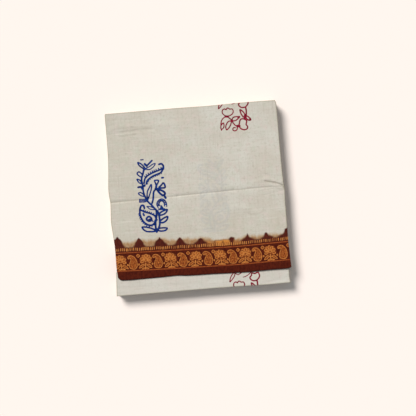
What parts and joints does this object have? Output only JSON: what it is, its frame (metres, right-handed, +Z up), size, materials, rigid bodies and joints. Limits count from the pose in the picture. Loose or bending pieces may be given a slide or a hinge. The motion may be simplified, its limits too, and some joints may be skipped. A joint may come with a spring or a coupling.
{
  "type": "folded cotton saree",
  "caption": "Cotton saree pressed and folded into a flat square bundle, its printed border along the near side and folded edges at the sides.",
  "frame": {"origin": "middle of the underside's bounding box, on the surface that the bundle lies on", "axes": "+Z up from that surface; +Y across the saree, from the border's selvedge to the far fold; +X along the saree's length, to the right with the border nearest the viewer"},
  "size_m": [0.2842, 0.2962, 0.0261],
  "materials": {
    "printed_cotton": "off-white plain-weave cotton, matt, with sparse blue and crimson block prints",
    "border": "rust and maroon dyed cotton with ochre figures, matt with a slight gloss on the figures",
    "folded_plies": "stacked folds of the same off-white cotton, rust at the border's end"
  },
  "bodies": {
    "root": {"top_stretch": "printed_cotton", "top_border": "border", "under_stretch": "printed_cotton", "bottom_stretch": "printed_cotton", "hidden_layers": "folded_plies"}
  },
  "joints": []
}
